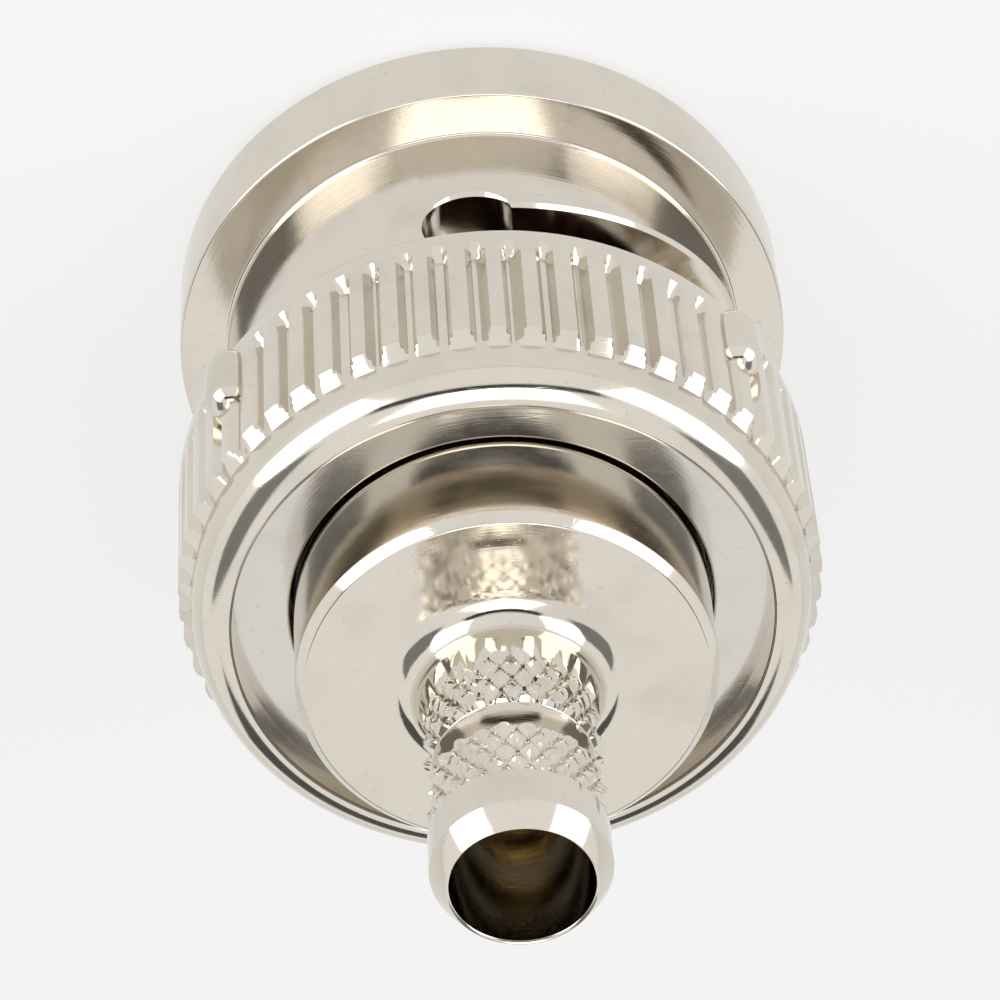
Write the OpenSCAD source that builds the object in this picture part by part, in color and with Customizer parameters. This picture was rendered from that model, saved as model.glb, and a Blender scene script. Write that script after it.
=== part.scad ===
// Bayonet coaxial cable plug for crimping. It stands on the front rim of its coupling nut,
// with the crimp stem straight up. The origin is the centre of that rim.

/* [Coupling nut] */
// Diameter over the front rim and over the knurl's crests
nut_d = 14.5; // [14.1:0.1:15.5]
// Length of the front rim
rim_len = 2.32; // [2:0.02:2.8]
// Step from the rim down to the neck that the cam slots are cut through
neck_step = 1.15; // [0.9:0.05:1.3]
// Length of the neck, from the rim to the shoulder
neck_len = 5.54; // [5.4:0.02:6.6]
// Length of the plain shoulder in front of the knurl
shoulder_len = 0.54; // [0.3:0.02:1.2]
// Length of the straight knurl
knurl_len = 3.6; // [2.6:0.1:5]
// Length of the plain ring between the knurl and the rolled lip
lip_root_len = 0.28; // [0.1:0.02:0.6]
// Outside radius of the rolled lip
lip_round = 0.87; // [0.6:0.01:0.87]
// Wall of the neck, around the socket that takes the mating barrel
neck_wall = 1.2; // [1.1:0.05:1.25]
// How far the rolled lip reaches in over the thrust washer
lip_reach = 0.4; // [0.35:0.05:0.85]
// Wall between the knurl's root and the washer chamber
chamber_wall = 0.5; // [0.4:0.05:0.62]
// Depth of the thrust washer below the rolled lip's top
lip_depth = 0.76; // [0.6:0.01:1.1]
// Bevel on the rim's front edge and on the socket's mouth
mouth_bevel = 0.3; // [0.1:0.05:0.45]

/* [Knurls] */
// Number of teeth in the straight knurl
knurl_teeth = 58; // [40:1:72]
// Depth of the straight knurl's grooves
knurl_depth = 0.3; // [0.2:0.01:0.34]
// Share of a tooth's pitch that its flat crest takes
knurl_land = 0.48; // [0.2:0.02:0.6]
// Share of a tooth's pitch that the groove's flat bottom takes
knurl_floor = 0.16; // [0.05:0.01:0.3]
// Length over which the grooves run out at the shoulder, and the teeth slope down at the lip
knurl_slope = 0.3; // [0.1:0.05:0.5]
// Number of pyramids around each diamond knurl
pyramids = 22; // [14:1:30]
// Rows of pyramids in each diamond knurl, counted in half pyramids
pyramid_rows = 4; // [2:1:6]
// Depth of the diamond knurl's grooves
pyramid_depth = 0.16; // [0.06:0.01:0.2]

/* [Grip pips] */
// Angle from a detent to the pip on either side of it
pip_angle = 53.4; // [40:0.2:60]
// Width of a pip at its foot
pip_w = 1.1; // [0.9:0.05:1.3]
// Height of a pip above the shoulder
pip_h = 0.4; // [0.3:0.02:0.5]
// Length of a pip from the shoulder's front
pip_len = 2; // [1.8:0.1:2.6]

/* [Bayonet slots] */
// Width of the cam slots, which a 2 mm lug runs in
slot_w = 2.2; // [2.1:0.05:2.4]
// Diameter of the detent at the end of each cam slot
detent_d = 2.3; // [2.2:0.05:2.5]
// How far the detent drops back from the end of the cam slot
detent_drop = 0.45; // [0.2:0.05:0.6]
// Depth of the two entry grooves inside the rim
groove_depth = 0.75; // [0.65:0.05:0.85]
// Climb of the cam slots from the entry groove to the detent
cam_rise = 2.83; // [2.4:0.01:3]
// Wall left between a cam slot and the rim
slot_land = 0.08; // [0.05:0.01:0.3]
// Angle that the nut is turned by on the plug
nut_turn = 3.6; // [-45:0.2:45]

/* [Thrust washer and spring washers] */
// Width of the thrust washer's ring, between the nut and the barrel
washer_w = 1.62; // [1.4:0.02:1.74]
// Thickness of the thrust washer under the lip
thrust_t = 0.3; // [0.2:0.05:0.4]
// Thickness of each wave washer's strip
wave_t = 0.2; // [0.1:0.01:0.24]
// Height of each wave washer at rest
wave_h = 0.5; // [0.4:0.02:0.6]
// Number of waves in each wave washer
waves = 3; // [3:1:4]

/* [Plug body] */
// Thickness of the body's flange inside the nut
flange_t = 0.6; // [0.4:0.05:0.9]
// Length of the body from its flange's front to the barrel's end
body_len = 4.6; // [4.2:0.05:6]
// Wall at the barrel's end, around the stem
end_wall = 0.8; // [0.5:0.05:1.2]
// Bevel around the barrel's end
barrel_bevel = 0.2; // [0.1:0.02:0.35]

/* [Crimp stem] */
// Diameter of the stem
stem_d = 3.9; // [3.7:0.05:4.3]
// Length of the stem beyond the barrel
stem_len = 6.65; // [6.4:0.05:9]
// Bore for the cable's inner insulation
stem_bore_d = 3.1; // [2.9:0.05:3.2]
// Radius of the concave fillet at the stem's foot
stem_fillet = 0.7; // [0.3:0.05:0.8]
// Plain length between the fillet and the first diamond knurl
stem_plain = 0.4; // [0.2:0.05:1]
// Length of each diamond knurl
diamond_len = 1.55; // [1.2:0.05:2]
// Length of the groove between the two diamond knurls
stem_groove_len = 0.9; // [0.5:0.05:1.1]
// Length of the bevel at the stem's tip
tip_bevel_len = 0.55; // [0.2:0.05:0.8]

/* [Outer contact] */
// Room for the mating barrel, between the socket and the slotted outer contact
contact_room = 0.85; // [0.75:0.05:0.9]
// Step down to its foot, under the gasket and in the body
contact_step = 0.2; // [0.18:0.01:0.25]
// Wall of that foot
contact_wall = 0.35; // [0.25:0.05:0.45]
// Distance of its front edge behind the nut's front rim
contact_setback = 1.4; // [0.8:0.1:3]
// Depth that it is pressed into the body
contact_seat = 2; // [1.2:0.1:2.4]
// Number of slots that make it springy
contact_slots = 4; // [4:1:6]
// Width of those slots
contact_slot_w = 0.5; // [0.3:0.05:0.7]
// Solid length between the slots' ends and the gasket
contact_root = 0.7; // [0.3:0.1:2]

/* [Insulators and gasket] */
// Length of the front insulator's base, inside the outer contact
insulator_base = 3.2; // [2.6:0.1:4]
// Room around the front insulator's nose, inside the outer contact
insulator_room = 1.15; // [1:0.05:1.3]
// Length of the front insulator's nose
insulator_nose_len = 4.6; // [3:0.1:5]
// Distance of the front insulator's back behind the flange's front
insulator_seat = 1.3; // [0.8:0.1:1.8]
// Thickness of the gasket
gasket_t = 0.8; // [0.5:0.05:1.1]

/* [Centre contact] */
// Diameter of the mating pin
pin_d = 1.35; // [1.3:0.01:1.4]
// Distance of the pin's tip behind the nut's front rim
pin_setback = 1.2; // [0.6:0.1:2.5]
// Length of the pin's tapered nose
pin_nose_len = 0.8; // [0.4:0.05:1.2]
// Diameter of the pin's crimp barrel
crimp_d = 2.1; // [1.9:0.05:2.4]
// Length of the pin's crimp barrel
crimp_len = 5; // [3.5:0.1:5.6]
// Bore of the crimp barrel
crimp_bore_d = 1; // [0.9:0.05:1.2]
// Depth of that bore
crimp_bore_len = 3.4; // [2:0.1:4]
// Diameter of the inspection hole in the crimp barrel
peep_d = 0.5; // [0.3:0.05:0.7]

/* [Clearances] */
// Gap all round a piece that turns or slides in another
run_gap = 0.08; // [0.05:0.01:0.12]
// Gap all round a piece that is dropped into another
drop_gap = 0.03; // [0.02:0.01:0.05]

/* [Hidden] */
$fn = 96;
fine = 32;
cut = 1;
crest_r = nut_d / 2;
root_r = crest_r - knurl_depth;
neck_r = crest_r - neck_step;
socket_r = neck_r - neck_wall;
groove_r = socket_r + groove_depth;
shoulder_round = 0.2;
knurl_slack = 0.02;
flange_slack = 0.16;
wave_slack = 0.16;
pip_setback = 0.06;
rim_bevel = 0.06;

// Heights above the nut's front rim
shoulder_z = rim_len + neck_len;
knurl_z = shoulder_z + shoulder_len;
knurl_end_z = knurl_z + knurl_len;
lip_z = knurl_end_z + lip_root_len;
nut_top_z = lip_z + lip_round;
thrust_top_z = nut_top_z - lip_depth;
thrust_z = thrust_top_z - thrust_t;
wave_mid_z = thrust_z - wave_h;
wave_z = wave_mid_z - wave_h;
seat_z = wave_z - flange_t;
barrel_top_z = seat_z + body_len;
chamber_top_z = barrel_top_z - end_wall;
stem_top_z = barrel_top_z + stem_len;

// Washer chamber inside the nut, and what turns in it
chamber_r = root_r - chamber_wall;
lip_hole_r = chamber_r - lip_reach;
thrust_r = chamber_r - run_gap;
thrust_in_r = thrust_r - washer_w;
barrel_r = thrust_in_r - run_gap;
flange_r = thrust_r - flange_slack;
wave_in_r = barrel_r + wave_slack;
wave_out_r = flange_r;

// Bayonet slots: a lug enters along a groove and climbs the cam to the detent a quarter turn on
slots = 2;
cam_sweep = 90;
cam_steps = 30;
cam_low_z = rim_len + slot_land + slot_w / 2;
cam_high_z = cam_low_z + cam_rise;
detent_z = cam_high_z - detent_drop;
groove_w = slot_w + 0.1;
wall_mid_r = (socket_r + neck_r) / 2;
wall_reach = neck_r - socket_r + 0.6;

// Outer contact, insulators and centre contact
contact_r = socket_r - contact_room;
contact_foot_r = contact_r - contact_step;
contact_in_r = contact_foot_r - contact_wall;
contact_edge_round = 0.14;
contact_end_z = seat_z + contact_seat;
gasket_z = seat_z - gasket_t;
contact_slot_end_z = gasket_z - contact_root;
insulator_end_z = seat_z + insulator_seat;
insulator_step_z = insulator_end_z - insulator_base;
insulator_nose_z = insulator_step_z - insulator_nose_len;
pin_r = pin_d / 2;
crimp_r = crimp_d / 2;
crimp_end_z = chamber_top_z - 0.1;
crimp_z = crimp_end_z - crimp_len;

// Crimp stem
stem_r = stem_d / 2;
stem_bore_r = stem_bore_d / 2;
diamond_z = barrel_top_z + stem_fillet + stem_plain;
diamond_gap_z = diamond_z + diamond_len;
diamond_2_z = diamond_gap_z + stem_groove_len;
diamond_end_z = diamond_2_z + diamond_len;
valley_r = stem_r - pyramid_depth;
peak_r = stem_r - 0.02;
stem_core_r = valley_r - 0.04;
knurl_inner_r = valley_r - 0.1;
knurl_bite = 0.05;
tip_land = 0.06;

// Rectangle of a revolved section, from radius r0 to r1 and height z0 to z1
module band(r0, r1, z0, z1) {
    translate([r0, z0]) square([r1 - r0, z1 - z0]);
}

// The same rectangle with all four corners rounded
module soft_band(r0, r1, z0, z1, round_r) {
    band(r0 + round_r, r1 - round_r, z0, z1);
    band(r0, r1, z0 + round_r, z1 - round_r);
    for (r = [r0 + round_r, r1 - round_r], z = [z0 + round_r, z1 - round_r])
        translate([r, z]) circle(round_r, $fn = fine);
}

// Cutter that bevels a revolved section's outer corner at (r, z) by size, on its top or, with
// way = -1, on its bottom
module bevel(r, z, size, way = 1, height = 0) {
    h = way * (height > 0 ? height : size);
    polygon([[r - size, z], [r, z - h], [r + cut, z - h], [r + cut, z + way * cut],
        [r - size, z + way * cut]]);
}

// Section of the nut's outside: rim, neck, shoulder and rolled lip
module nut_outside_section() {
    difference() {
        band(0, crest_r, 0, rim_len);
        bevel(crest_r, 0, mouth_bevel, -1);
        bevel(crest_r, rim_len, rim_bevel);
    }
    band(0, neck_r, rim_len - cut, shoulder_z + cut);
    band(0, crest_r - shoulder_round, shoulder_z, knurl_z);
    translate([crest_r - shoulder_round, shoulder_z + shoulder_round]) circle(shoulder_round, $fn = fine);
    polygon([[0, shoulder_z + shoulder_round], [crest_r, shoulder_z + shoulder_round], [crest_r, knurl_z],
        [root_r, knurl_z + knurl_slope], [0, knurl_z + knurl_slope]]);
    band(0, root_r, knurl_z, lip_z);
    band(0, root_r - lip_round, lip_z - cut, nut_top_z);
    intersection() {
        translate([root_r - lip_round, lip_z]) circle(lip_round, $fn = 64);
        band(0, root_r, lip_z - cut, nut_top_z);
    }
}

// Section of the nut's inside: socket, washer chamber and the hole in the lip
module nut_inside_section() {
    band(0, socket_r, -cut, seat_z + cut);
    polygon([[0, -cut], [socket_r + mouth_bevel + cut, -cut], [socket_r, mouth_bevel], [0, mouth_bevel]]);
    band(0, chamber_r, seat_z, thrust_top_z);
    band(0, lip_hole_r, thrust_top_z - cut, nut_top_z + cut);
}

// Outline of the straight knurl: flat crests with a flat-bottomed groove between each two
function knurl_outline(n, crest, root) =
    [for (i = [0:n - 1], k = [0:3]) let (
        a = (i + [-knurl_land / 2, knurl_land / 2, 0.5 - knurl_floor / 2, 0.5 + knurl_floor / 2][k]) * 360 / n,
        r = [crest, crest, root, root][k]) r * [cos(a), sin(a)]];

// Straight knurl: its grooves run out on a slope at the shoulder, and its teeth slope down at the lip
module straight_knurl() {
    intersection() {
        translate([0, 0, knurl_z - knurl_slack]) linear_extrude(knurl_len + 2 * knurl_slack)
            polygon(knurl_outline(knurl_teeth, crest_r - knurl_slack, root_r - knurl_slack));
        rotate_extrude() polygon([[0, knurl_z - cut], [crest_r + knurl_slack, knurl_z - cut],
            [crest_r + knurl_slack, knurl_end_z - knurl_slope],
            [root_r - knurl_slack, knurl_end_z + knurl_slack], [0, knurl_end_z + knurl_slack]]);
    }
}

// Height of the cam slot's centre line at angle a past the entry groove
function cam_z(a) = cam_low_z + (cam_high_z - cam_low_z) * sin(a * 90 / cam_sweep);

// Cutter for one cam slot, with walls square to the nut's wall all along the climb
module cam_cutter() {
    r0 = wall_mid_r - wall_reach / 2;
    r1 = wall_mid_r + wall_reach / 2;
    last = cam_steps * 4;
    points = [for (i = [0:cam_steps]) let (a = i * cam_sweep / cam_steps, z = cam_z(a))
        for (p = [[r0, -1], [r1, -1], [r1, 1], [r0, 1]])
            [p[0] * cos(a), p[0] * sin(a), z + p[1] * slot_w / 2]];
    sides = [for (i = [0:cam_steps - 1], k = [0:3]) let (p = 4 * i + k, q = 4 * i + (k + 1) % 4)
        each [[p, q + 4, p + 4], [p, q, q + 4]]];
    ends = [[3, 2, 1, 0], [last, last + 1, last + 2, last + 3]];
    polyhedron(points, concat(sides, ends));
}

// Round cutter square to the nut's wall, at angle a and height z
module radial_hole(d, a, z) {
    rotate(a) translate([wall_mid_r - wall_reach / 2, 0, z]) rotate([0, 90, 0])
        cylinder(wall_reach, d = d, $fn = 48);
}

// One entry groove, cam slot and detent
module bayonet_cut() {
    intersection() {
        translate([0, -groove_w / 2, -cut]) cube([neck_r, groove_w, cam_low_z + cut]);
        cylinder(h = 4 * cam_low_z, r = groove_r, center = true);
    }
    cam_cutter();
    radial_hole(slot_w, 0, cam_low_z);
    radial_hole(slot_w, cam_sweep, cam_high_z);
    radial_hole(detent_d, cam_sweep, detent_z);
}

// One grip pip: a half-round ridge with round ends that starts at the shoulder's front
module grip_pip() {
    pip_r = (pow(pip_w / 2, 2) + pow(pip_h, 2)) / (2 * pip_h);
    translate([crest_r + pip_h - pip_r, 0, shoulder_z + pip_setback + pip_r]) {
        cylinder(pip_len - 2 * pip_r, r = pip_r, $fn = fine);
        for (z = [0, pip_len - 2 * pip_r]) translate([0, 0, z]) sphere(pip_r, $fn = fine);
    }
}

module coupling_nut() {
    color([0.80, 0.78, 0.74]) rotate(nut_turn) difference() {
        union() {
            rotate_extrude() nut_outside_section();
            straight_knurl();
            for (i = [0:slots - 1], side = [-1, 1])
                rotate(cam_sweep + side * pip_angle + i * 360 / slots) grip_pip();
        }
        rotate_extrude() nut_inside_section();
        for (i = [0:slots - 1]) rotate(i * 360 / slots) bayonet_cut();
    }
}

module thrust_washer() {
    color([0.78, 0.76, 0.72])
        rotate_extrude() band(thrust_in_r, thrust_r, thrust_z, thrust_top_z);
}

// Wave washer between heights z0 and z0 + wave_h, its waves turned by phase
module wave_washer(z0, phase) {
    steps = 24 * waves;
    swing = (wave_h - wave_t) / 2;
    points = [for (i = [0:steps - 1]) let (a = i * 360 / steps,
            z = z0 + wave_h / 2 + swing * cos(waves * (a - phase)))
        for (p = [[wave_in_r, -1], [wave_out_r, -1], [wave_out_r, 1], [wave_in_r, 1]])
            [p[0] * cos(a), p[0] * sin(a), z + p[1] * wave_t / 2]];
    faces = [for (i = [0:steps - 1], k = [0:3]) let (j = (i + 1) % steps, n = (k + 1) % 4)
        each [[4 * i + k, 4 * j + n, 4 * j + k], [4 * i + k, 4 * i + n, 4 * j + n]]];
    polyhedron(points, faces);
}

module wave_washer_front() {
    color([0.70, 0.70, 0.68]) wave_washer(wave_z, 0);
}

module wave_washer_rear() {
    color([0.70, 0.70, 0.68]) wave_washer(wave_mid_z, 180 / waves);
}

module gasket() {
    color([0.80, 0.25, 0.18]) rotate_extrude()
        soft_band(contact_foot_r + drop_gap, socket_r - run_gap, gasket_z, seat_z, 0.12);
}

// Springy sleeve of the outer contact, slotted from its front edge
module outer_contact() {
    color([0.80, 0.78, 0.74]) difference() {
        rotate_extrude() difference() {
            union() {
                soft_band(contact_in_r, contact_r, contact_setback, contact_setback + cut, contact_edge_round);
                band(contact_in_r, contact_r, contact_setback + cut / 2, gasket_z);
                band(contact_in_r, contact_foot_r, gasket_z, contact_end_z);
            }
            bevel(contact_foot_r, contact_end_z, contact_edge_round);
        }
        for (i = [0:contact_slots - 1]) rotate((i + 0.5) * 360 / contact_slots)
            translate([0, -contact_slot_w / 2, 0]) cube([2 * contact_r, contact_slot_w, contact_slot_end_z]);
    }
}

// Front insulator: a base inside the outer contact and a nose around the pin
module front_insulator() {
    nose_r = contact_in_r - insulator_room;
    nose_bevel = 0.25;
    color([0.95, 0.94, 0.90]) rotate_extrude() difference() {
        union() {
            band(0, contact_in_r, insulator_step_z, insulator_end_z);
            band(0, nose_r, insulator_nose_z, insulator_end_z);
        }
        bevel(nose_r, insulator_nose_z, nose_bevel, -1);
        band(0, pin_r + drop_gap, 0, insulator_end_z + cut);
        band(0, crimp_r + drop_gap, crimp_z, insulator_end_z + cut);
    }
}

module rear_insulator() {
    color([0.93, 0.92, 0.88]) rotate_extrude()
        band(crimp_r + drop_gap, contact_in_r, insulator_end_z, chamber_top_z);
}

// Centre contact: mating pin in front, crimp barrel with its peep hole behind
module centre_contact() {
    tip_r = pin_r * 0.45;
    bore_z = crimp_end_z - crimp_bore_len;
    bore_r = crimp_bore_d / 2;
    color([0.85, 0.68, 0.30]) difference() {
        rotate_extrude() {
            intersection() {
                translate([0, pin_setback + tip_r]) circle(tip_r, $fn = fine);
                band(0, tip_r, pin_setback, pin_setback + tip_r);
            }
            polygon([[0, pin_setback + tip_r], [tip_r, pin_setback + tip_r],
                [pin_r, pin_setback + pin_nose_len], [pin_r, crimp_z],
                [crimp_r, crimp_z], [crimp_r, crimp_end_z - 0.1], [crimp_r - 0.1, crimp_end_z],
                [0, crimp_end_z]]);
        }
        rotate_extrude() polygon([[0, bore_z - bore_r / 2], [bore_r, bore_z],
            [bore_r, crimp_end_z + cut], [0, crimp_end_z + cut]]);
        translate([0, 0, bore_z + peep_d]) rotate([-90, 0, 0]) cylinder(crimp_d, d = peep_d, $fn = 24);
    }
}

// Ring of raised pyramids between heights z0 and z1: every second grid point is a peak, and
// the valleys run between the peaks as two crossed helices
module diamond_knurl(z0, z1) {
    n = 2 * pyramids;
    step = (z1 - z0) / pyramid_rows;
    outer = [for (j = [0:pyramid_rows], i = [0:n - 1]) let (a = i * 360 / n,
            r = (i + j) % 2 == 0 ? peak_r : valley_r)
        [r * cos(a), r * sin(a), z0 + j * step]];
    inner = [for (z = [z0, z1], i = [0:n - 1]) let (a = i * 360 / n)
        [knurl_inner_r * cos(a), knurl_inner_r * sin(a), z]];
    base = n * (pyramid_rows + 1);
    top = n * pyramid_rows;
    skin = [for (j = [0:pyramid_rows - 1], i = [0:n - 1]) let (m = (i + 1) % n,
            p = j * n + i, q = j * n + m, s = p + n, t = q + n)
        each (i + j) % 2 == 0 ? [[p, s, q], [q, s, t]] : [[p, t, q], [p, s, t]]];
    caps = [for (i = [0:n - 1]) let (m = (i + 1) % n)
        each [[i, m, base + m], [i, base + m, base + i],
            [base + i, base + m, base + n + m], [base + i, base + n + m, base + n + i],
            [top + i, base + n + i, base + n + m], [top + i, base + n + m, top + m]]];
    polyhedron(concat(outer, inner), concat(skin, caps));
}

// Section of the body's outside: flange, barrel, and the stem with its foot fillet
module body_outside_section() {
    band(0, flange_r, seat_z, wave_z);
    difference() {
        band(0, barrel_r, seat_z, barrel_top_z);
        bevel(barrel_r, barrel_top_z, barrel_bevel);
    }
    difference() {
        band(0, stem_r + stem_fillet, barrel_top_z - cut, barrel_top_z + stem_fillet);
        translate([stem_r + stem_fillet, barrel_top_z + stem_fillet]) circle(stem_fillet, $fn = 64);
    }
    difference() {
        band(0, stem_r, barrel_top_z, stem_top_z);
        band(stem_core_r, stem_d, diamond_z, diamond_end_z);
        bevel(stem_r, stem_top_z, stem_r - stem_bore_r - tip_land, height = tip_bevel_len);
    }
}

// Section of the body's inside: seat of the outer contact, insulator chamber and stem bore
module body_inside_section() {
    band(0, contact_foot_r, seat_z - cut, contact_end_z);
    band(0, contact_in_r, seat_z, chamber_top_z);
    band(0, stem_bore_r, seat_z, stem_top_z + cut);
}

module plug_body() {
    color([0.80, 0.78, 0.74]) {
        difference() {
            union() {
                rotate_extrude() body_outside_section();
                diamond_knurl(diamond_z - knurl_bite, diamond_gap_z);
                diamond_knurl(diamond_2_z, diamond_end_z + knurl_bite);
            }
            rotate_extrude() body_inside_section();
        }
    }
}

coupling_nut();
thrust_washer();
wave_washer_front();
wave_washer_rear();
gasket();
outer_contact();
front_insulator();
rear_insulator();
centre_contact();
plug_body();
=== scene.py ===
"""Dresses a bayonet coaxial cable plug: fine turned and knurled pieces, plated finishes and a studio."""
import math
import random

import bpy
from mathutils import Matrix, Vector


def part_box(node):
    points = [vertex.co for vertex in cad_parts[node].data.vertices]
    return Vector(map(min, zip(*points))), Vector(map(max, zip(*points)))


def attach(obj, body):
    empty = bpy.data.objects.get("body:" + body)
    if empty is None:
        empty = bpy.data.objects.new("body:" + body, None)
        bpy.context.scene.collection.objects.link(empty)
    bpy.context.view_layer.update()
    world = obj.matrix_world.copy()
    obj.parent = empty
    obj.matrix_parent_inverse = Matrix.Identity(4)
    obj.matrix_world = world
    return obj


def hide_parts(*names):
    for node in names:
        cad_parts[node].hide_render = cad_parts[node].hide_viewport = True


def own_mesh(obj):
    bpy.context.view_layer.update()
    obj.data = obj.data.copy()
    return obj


bl_info = {
    "name": "Bayonet coaxial plug",
    "version": (1, 0, 0),
    "blender": (4, 5, 0),
    "location": "View3D > Sidebar > Plug",
    "description": "Builds the turned, knurled and moulded pieces of a bayonet coaxial plug",
    "category": "Object",
}

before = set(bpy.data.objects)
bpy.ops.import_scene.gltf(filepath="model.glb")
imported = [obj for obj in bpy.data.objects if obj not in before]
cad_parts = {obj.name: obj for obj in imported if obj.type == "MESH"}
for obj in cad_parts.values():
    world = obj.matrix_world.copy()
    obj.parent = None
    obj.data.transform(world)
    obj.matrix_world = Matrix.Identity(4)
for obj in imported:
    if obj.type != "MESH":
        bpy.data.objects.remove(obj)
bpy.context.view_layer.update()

MM = 0.001
TAU = 2 * math.pi
NUT_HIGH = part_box("coupling_nut")[1]
BODY_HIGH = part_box("plug_body")[1]
PLUG_MIDDLE = Vector((0, 0, 0.012))


# ------------------------------------------------------------------ settings

def length(name, millimetres, description):
    """A size in metres, given here in millimetres."""
    return bpy.props.FloatProperty(
        name=name, description=description, default=millimetres * MM, min=0.0, precision=6, unit="LENGTH")


def share(name, default, description):
    return bpy.props.FloatProperty(
        name=name, description=description, default=default, min=0.0, max=1.0, subtype="FACTOR")


def colour(name, default, description):
    return bpy.props.FloatVectorProperty(
        name=name, description=description, default=default, size=3, min=0.0, max=1.0, subtype="COLOR")


class NutSizes(bpy.types.PropertyGroup):
    rim_radius: length("Rim radius", NUT_HIGH.x / MM, "Radius over the front rim and the knurl's crests")
    rim_end: length("Rim length", 2.32, "Length of the front rim")
    neck_radius: length("Neck radius", 6.1, "Radius of the neck that the cam slots are cut through")
    shoulder: length("Shoulder height", 7.86, "Height of the shoulder's front face")
    knurl_start: length("Knurl start", 8.4, "Height at which the grooves start")
    knurl_end: length("Knurl end", 12.0, "Height at which the teeth end")
    knurl_depth: length("Knurl depth", 0.3, "Depth of the straight knurl's grooves")
    lip_centre: length("Lip centre", 12.28, "Height of the rolled lip's centre")
    lip_round: length("Lip radius", 0.87, "Outside radius of the rolled lip")
    socket_radius: length("Socket radius", 4.9, "Radius of the socket for the mating barrel")
    chamber_radius: length("Chamber radius", 6.45, "Radius of the washer chamber")
    chamber_floor: length("Chamber floor", 10.49, "Height of the chamber's floor")
    chamber_top: length("Chamber top", 12.39, "Height of the lip's underside")
    lip_hole: length("Lip hole radius", 6.05, "Radius of the hole inside the lip")
    teeth: bpy.props.IntProperty(name="Teeth", description="Teeth in the straight knurl", default=58, min=12)
    turn: bpy.props.FloatProperty(
        name="Nut turn", description="Angle of the nut on the plug",
        default=math.radians(3.6), subtype="ANGLE")


class SlotSizes(bpy.types.PropertyGroup):
    width: length("Slot width", 2.2, "Width of each cam slot")
    low: length("Slot start", 3.5, "Height of a slot's centre line at its entry groove")
    rise: length("Slot climb", 2.83, "Climb from the entry groove to the detent")
    drop: length("Detent drop", 0.45, "How far the detent drops back")
    detent: length("Detent radius", 1.15, "Radius of the detent")
    groove: length("Groove reach", 5.65, "Radius that the entry grooves reach inside the rim")
    edge: length("Slot edge", 0.1, "Softening of the slots' outer edges")


class BodySizes(bpy.types.PropertyGroup):
    barrel_radius: length("Barrel radius", 4.67, "Radius of the barrel")
    barrel_top: length("Barrel top", 15.09, "Height of the barrel's end face")
    flange_radius: length("Flange radius", 6.21, "Radius of the flange inside the nut")
    flange_top: length("Flange top", 11.09, "Height of the flange's rear face")
    stem_radius: length("Stem radius", 1.95, "Radius of the crimp stem")
    stem_bore: length("Stem bore radius", 1.55, "Radius of the cable's bore")
    stem_top: length("Stem top", BODY_HIGH.z / MM, "Height of the stem's tip")
    fillet: length("Stem fillet", 0.7, "Radius of the fillet at the stem's foot")
    pyramid_depth: length("Pyramid depth", 0.2, "Depth of the diamond knurl")


class Finishes(bpy.types.PropertyGroup):
    nickel: colour("Nickel", (0.70, 0.65, 0.57), "Warm nickel plating of the nut and the body")
    washer: colour("Washer plating", (0.66, 0.63, 0.58), "Plating of the thrust washer")
    steel: colour("Spring steel", (0.56, 0.56, 0.55), "Wave washers")
    gold: colour("Gold plating", (0.93, 0.70, 0.30), "Centre contact")
    rubber: colour("Gasket", (0.42, 0.08, 0.05), "Silicone gasket")
    plastic: colour("Insulator", (0.86, 0.85, 0.81), "Fluoropolymer insulators")
    wear: share("Wear", 0.5, "Strength of handling marks")


def mm(settings, *names):
    """Settings as numbers in millimetres."""
    values = [getattr(settings, name) / MM for name in names]
    return values if len(values) > 1 else values[0]


# ------------------------------------------------------------------ modelling

def nothing_selected():
    if bpy.context.object and bpy.context.object.mode != "OBJECT":
        bpy.ops.object.mode_set(mode="OBJECT")
    bpy.ops.object.select_all(action="DESELECT")


def active(piece):
    nothing_selected()
    piece.select_set(True)
    bpy.context.view_layer.objects.active = piece
    return piece


def named(name):
    """Names the primitive that was just added."""
    piece = bpy.context.object
    piece.name = name
    piece.data.name = name
    return piece


def settled(piece):
    """Puts the piece's place into its mesh."""
    active(piece)
    bpy.ops.object.transform_apply(location=True, rotation=True, scale=True)
    return piece


def softened(corners, turns=5):
    """Rounds each (radius, height, rounding) corner of a closed section."""
    points = []
    for i, (r, z, soft) in enumerate(corners):
        here = Vector((r, z))
        if soft == 0:
            points.append((r, z))
            continue
        before = (Vector(corners[i - 1][:2]) - here).normalized()
        after = (Vector(corners[(i + 1) % len(corners)][:2]) - here).normalized()
        angle = before.angle(after)
        centre = here + (before + after).normalized() * soft / math.sin(angle / 2)
        start = here + before * soft / math.tan(angle / 2) - centre
        end = here + after * soft / math.tan(angle / 2) - centre
        for k in range(turns + 1):
            p = centre + start.lerp(end, k / turns).normalized() * soft
            points.append((p.x, p.y))
    return points


def arc(centre_r, centre_z, radius, start, end, turns):
    """Points of an arc, angles in degrees from outwards to upwards."""
    angles = [math.radians(start + (end - start) * k / turns) for k in range(turns + 1)]
    return [(centre_r + radius * math.cos(a), centre_z + radius * math.sin(a)) for a in angles]


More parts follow.
